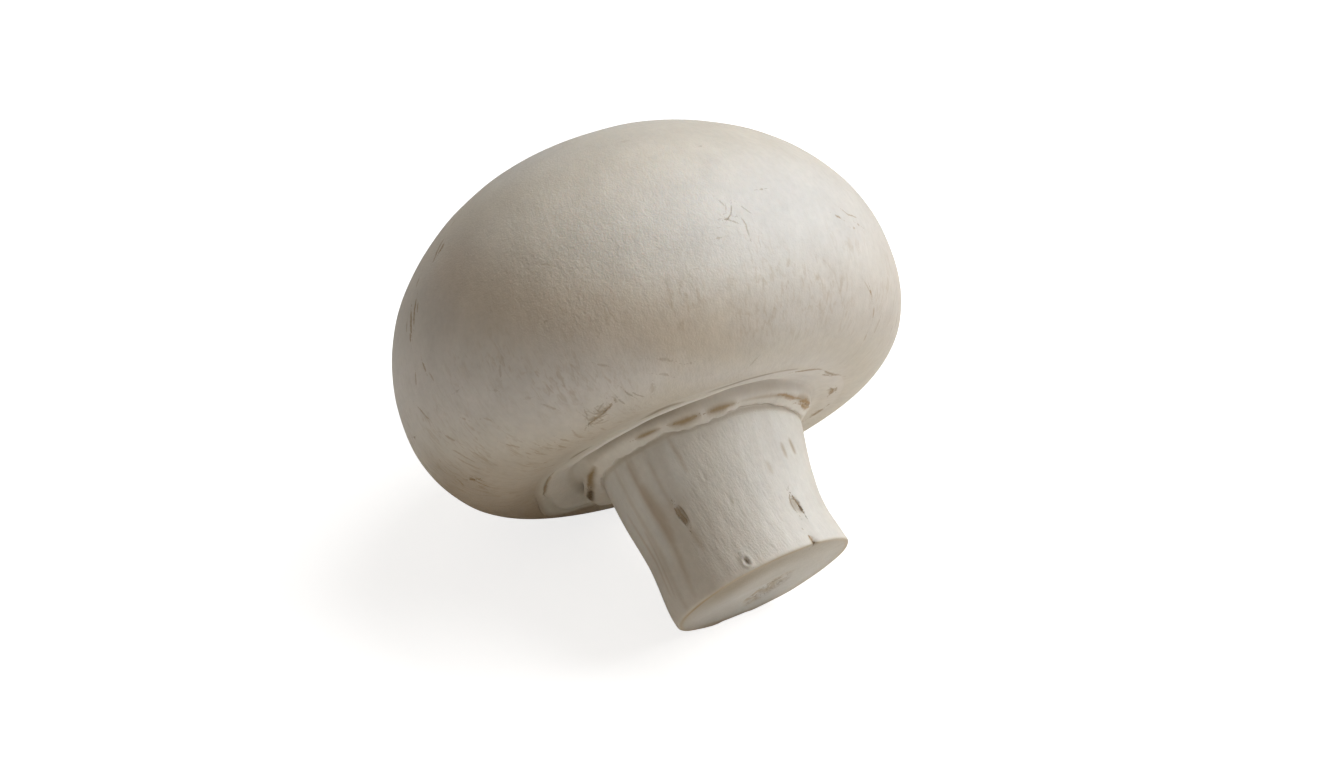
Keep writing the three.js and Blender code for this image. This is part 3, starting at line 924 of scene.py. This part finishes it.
# tone of a mark, from the darkest holes, painted shade with some brown, to tan crusts
markTones = [
    (0, "#54442D"),
    (0.1, "#84704F"),
    (0.22, "#9C8667"),
    (0.35, "#A68B66"),
    (0.65, "#9B8058"),
    (0.95, "#AB8652"),
]

multiply, add, subtract = {"operation": "MULTIPLY"}, {"operation": "ADD"}, {"operation": "SUBTRACT"}
lessHalf = {**subtract, 1: 0.5}
absolute = {"operation": "ABSOLUTE"}

skin = bpy.data.materials.new("mushroomSkin")
skin.use_nodes = True
tree = skin.node_tree
tree.nodes.clear()

place = addNode(tree, "TexCoord").outputs["Object"]
inMm = addNode(tree, "VectorMath", {"operation": "SCALE", "Scale": 1 / mm}, {0: place})
kept = {}  # what was stored on the points, whole and as three numbers
for name in ("grain", "flesh", "relief", "stain", *sheetNames):
    kept[name] = addNode(tree, "Attribute", {"attribute_name": name}).outputs["Vector"]
    kept[name + "Parts"] = addNode(tree, "SeparateXYZ", {}, {0: kept[name]}).outputs
grain, relief, stain = kept["grain"], kept["reliefParts"], kept["stainParts"]

# every pattern: where it lies, how it is stretched, its scale per mm, its detail and how far it is bent
patterns = {
    "mottle": (inMm, (1, 1, 1), 0.30, 3, 0.3),
    "speckle": (inMm, (1, 1, 1), 1.9, 4, 0.2),  # cloudiness from 0.5 mm down
    "leather": (grain, (1, 1, 0.8), 2.3, 3, 0.6),  # wrinkles about 0.5 mm apart
    "tooth": (inMm, (1, 1, 1), 6.0, 2, 0.0),  # grain of 0.15 mm, which also frays the marks
    "fibrils": (grain, (1, 1, 0.2), 2.6, 3, 0.3),  # fibrils 0.4 mm apart, 2 mm long
    "strands": (grain, (1, 1, 0.38), 2.4, 4, 1.0),  # shorter and tangled
    "ripples": (grain, (1, 1, 0.3), 4.2, 2, 0.0),  # fibres 0.25 mm apart
    "wobble": (inMm, (1, 1, 1), 1.6, 1, 0.0),
    "cracks": (inMm, (1, 1, 1), 0.8, 2, 1.5),
}
pattern = {}
for name, (source, stretch, scale, detail, bent) in patterns.items():
    laidOut = addNode(tree, "Mapping", {"Scale": stretch}, {"Vector": source})
    settings = {"Scale": scale, "Detail": detail, "Distortion": bent}
    pattern[name] = addNode(tree, "TexNoise", settings, {"Vector": laidOut}).outputs[0]
usual = {"From Min": 0.3, "From Max": 0.7}  # where most of a pattern's values lie

# colour: painted flesh, unevenly light, with tan fibrils where it has dried
colour = kept["flesh"]
for name, share in (("mottle", "mottle"), ("fibrils", "streaks"), ("speckle", "speckle")):
    spread = {"To Min": 1 - skinLook[share], "To Max": 1 + skinLook[share]}
    evenness = addNode(tree, "MapRange", {**usual, **spread}, {"Value": pattern[name]})
    colour = addNode(tree, "VectorMath", {"operation": "SCALE"}, {0: colour, "Scale": evenness})
dried = addNode(tree, "MapRange", {"From Min": 0.49, "From Max": 0.72}, {"Value": pattern["strands"]})
dried = addNode(tree, "Math", multiply, {0: dried, 1: stain[0]})
dried = addNode(tree, "Math", {**multiply, 1: skinLook["dried"]}, {0: dried})

# thin cracks where one pattern crosses its middle, in the hollow of the cut
crack = addNode(tree, "Math", lessHalf, {0: pattern["cracks"]})
crack = addNode(tree, "Math", absolute, {0: crack})
thin = {"From Min": 0.0, "From Max": 0.03, "To Min": 0.6, "To Max": 0}
crack = addNode(tree, "MapRange", thin, {"Value": crack})
crack = addNode(tree, "Math", multiply, {0: crack, 1: stain[1]})
for share, tint in ((dried, "driedColour"), (crack, "crackColour")):
    mixed = {"data_type": "RGBA", 7: hexToLinear(skinLook[tint])}
    colour = addNode(tree, "Mix", mixed, {0: share, 6: colour}).outputs[2]

# height in mm, from all that stands up or is cut in
height = addNode(tree, "Math", {**multiply, 1: -skinLook["cracks"]}, {0: crack})
for name, share in (("leather", relief[0]), ("fibrils", relief[1]), ("ripples", relief[2]), ("tooth", None)):
    part = addNode(tree, "Math", {**multiply, 1: 2 * skinLook[name]}, {0: pattern[name]})
    if share:
        part = addNode(tree, "Math", multiply, {0: part, 1: share})
    height = addNode(tree, "Math", add, {0: height, 1: part})

# the marks: each sheet gives how far along a mark a point lies, how far beside its line, and how it looks
markShape = {
    "sway": 0.8,  # how far the line wanders, in half widths
    "leastSway": 0.10,  # mm more, which bends the thinnest too
    "fray": 1.8,  # raggedness of the edge, in half widths
    "softEdge": 1.3,  # half widths from full strength to none
    "blotch": 0.7,  # how far the tone goes to and fro
    "patchy": {"From Min": 0.36, "From Max": 0.56, "To Min": 0.55, "To Max": 1.1},  # unevenness of strength
}
ragged = pattern["tooth"]
patchy = addNode(tree, "MapRange", markShape["patchy"], {"Value": ragged})
wandered = addNode(tree, "Math", lessHalf, {0: pattern["wobble"]})
toAndFro = []
for share in (markShape["fray"], markShape["blotch"]):
    settings = {"operation": "MULTIPLY_ADD", 1: share, 2: -share / 2}
    toAndFro.append(addNode(tree, "Math", settings, {0: ragged}))
frayed, blotched = toAndFro
for k in range(markLayers):
    at, look = kept[f"markPlace{k}Parts"], kept[f"markLook{k}Parts"]
    # the line wanders and its edge is ragged, the more the wider it is
    swing = {"operation": "MULTIPLY_ADD", 1: markShape["sway"], 2: markShape["leastSway"]}
    swing = addNode(tree, "Math", swing, {0: at[2]})
    swing = addNode(tree, "Math", multiply, {0: wandered, 1: swing})
    beside = addNode(tree, "Math", add, {0: at[1], 1: swing})
    beside = addNode(tree, "Math", absolute, {0: beside})
    fray = addNode(tree, "Math", multiply, {0: frayed, 1: at[2]})
    beside = addNode(tree, "Math", add, {0: beside, 1: fray})
    # it thins to nothing at both ends
    left = addNode(tree, "Math", {**subtract, 0: 1.0}, {1: at[0]})
    ends = addNode(tree, "Math", multiply, {0: at[0], 1: left})
    ends = addNode(tree, "Math", {"operation": "MAXIMUM", 1: 0.0}, {0: ends})
    ends = addNode(tree, "Math", {"operation": "SQRT"}, {0: ends})
    wide = addNode(tree, "Math", multiply, {0: ends, 1: at[2]})
    # ends is a half at most, and the small number keeps the division sound
    wide = addNode(tree, "Math", {"operation": "MULTIPLY_ADD", 1: 2.0, 2: 0.0005}, {0: wide})
    reach = addNode(tree, "Math", {"operation": "DIVIDE"}, {0: beside, 1: wide})
    fading = {"From Min": 0.0, "From Max": markShape["softEdge"], "To Min": 1, "To Max": 0}
    mask = addNode(tree, "MapRange", {"interpolation_type": "SMOOTHSTEP", **fading}, {"Value": reach})
    mask = addNode(tree, "Math", multiply, {0: mask, 1: look[0]})
    mask = addNode(tree, "Math", multiply, {0: mask, 1: patchy})
    # its tone is blotchy
    tone = addNode(tree, "Math", add, {0: blotched, 1: look[1]})
    tone = addNode(tree, "ValToRGB", {}, {0: tone})
    while len(tone.color_ramp.elements) < len(markTones):
        tone.color_ramp.elements.new(0.5)
    for stop, (position, hexColour) in zip(tone.color_ramp.elements, markTones):
        stop.position = position
        stop.color = hexToLinear(hexColour)
    colour = addNode(tree, "Mix", {"data_type": "RGBA"}, {0: mask, 6: colour, 7: tone}).outputs[2]
    groove = addNode(tree, "Math", multiply, {0: mask, 1: look[2]})
    height = addNode(tree, "Math", subtract, {0: height, 1: groove})

bump = addNode(tree, "Bump", {"Distance": mm}, {"Height": height})
dullest = skinLook["roughness"] + skinLook["glossSpread"]
glossiest = skinLook["roughness"] - skinLook["glossSpread"]
gloss = {**usual, "To Min": glossiest, "To Max": dullest}
gloss = addNode(tree, "MapRange", gloss, {"Value": pattern["leather"]})
fleshSettings = {
    "IOR": skinLook["ior"],
    "Subsurface Weight": skinLook["subsurface"],
    "Subsurface Radius": skinLook["scatter"],
    "Subsurface Scale": mm,
}
surface = {"Base Color": colour, "Roughness": gloss, "Normal": bump}
shader = addNode(tree, "BsdfPrincipled", fleshSettings, surface)
addNode(tree, "OutputMaterial", {}, {"Surface": shader})
mesh.materials.append(skin)

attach(mushroom, "root")
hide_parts("button_mushroom")
print("mushroom placed")

# studio

# The floor is matt white card. The lens sees a lit sheet just over it, which lights nothing, so that the
# card stays white behind the mushroom while its own light back on the mushroom stays true.
# name, height in m, glow, tint
stage = [("studioCard", -0.0002, 0, "#F3EFE8"), ("studioFloor", 0, 0.78, "#C8C8C8")]
for name, high, glow, tint in stage:
    bpy.ops.mesh.primitive_plane_add(size=6, location=(0, 0, high))
    plane = bpy.context.object
    plane.name = name
    paper = bpy.data.materials.new(name + "Paper")
    paper.use_nodes = True
    paperShader = paper.node_tree.nodes["Principled BSDF"].inputs
    paperShader["Base Color"].default_value = hexToLinear(tint)
    paperShader["Roughness"].default_value = 0.9
    paperShader["Emission Color"].default_value = (1, 1, 1, 1)
    paperShader["Emission Strength"].default_value = glow
    plane.data.materials.append(paper)
    if glow:
        for ray in ("diffuse", "glossy", "transmission", "shadow"):
            setattr(plane, "visible_" + ray, False)
    else:
        plane.visible_camera = False

# degrees round and up, m away, mm of lens, and the place it looks at in mm
view = {"azimuth": 66.5, "elevation": 34.0, "distance": 0.2759, "lens": 85, "lookAt": (0.67, 1.10, 16.96)}


def aim(thing, azimuth, elevation, distance):
    # puts a camera or a lamp round and up from what the lens looks at, and turns it there
    a, e = math.radians(azimuth), math.radians(elevation)
    direction = Vector((math.sin(a) * math.cos(e), -math.cos(a) * math.cos(e), math.sin(e)))
    thing.location = target + direction * distance
    thing.rotation_euler = (target - thing.location).to_track_quat("-Z", "Y").to_euler()
    scene.collection.objects.link(thing)


target = Vector(view["lookAt"]) * mm
camera = bpy.data.objects.new("camera", bpy.data.cameras.new("camera"))
camera.data.lens = view["lens"]
camera.data.sensor_width = 36
camera.data.clip_start = 0.01
aim(camera, view["azimuth"], view["elevation"], view["distance"])
scene.camera = camera

# azimuth from the lens, elevation, distance in m, width and height in m, watts, colour
softboxes = {
    "keySoftbox": (90, 42, 0.50, 0.25, 0.25, 1.34, "#FEFFFF"),
    "backSoftbox": (135, 66, 0.50, 0.25, 0.25, 1.00, "#FEFFFF"),
}
for name, (aside, height, distance, width, tall, watts, tint) in softboxes.items():
    light = bpy.data.objects.new(name, bpy.data.lights.new(name, "AREA"))
    light.data.shape = "RECTANGLE"
    light.data.size = width
    light.data.size_y = tall
    light.data.energy = watts
    light.data.color = hexToLinear(tint)[:3]
    aim(light, view["azimuth"] + aside, height, distance)

# a dim warm room lights the mushroom from all round, and the lens sees white instead
room = (0.185, 0.165, 0.142)
world = bpy.data.worlds.new("studioAir")
world.use_nodes = True
air = world.node_tree
toLens = addNode(air, "LightPath").outputs["Is Camera Ray"]
seen = addNode(air, "Mix", {"data_type": "RGBA", 6: (*room, 1), 7: (1, 1, 1, 1)}, {0: toLens}).outputs[2]
air.links.new(seen, air.nodes["Background"].inputs["Color"])
scene.world = world
scene.view_settings.view_transform = "Standard"
print("studio set")
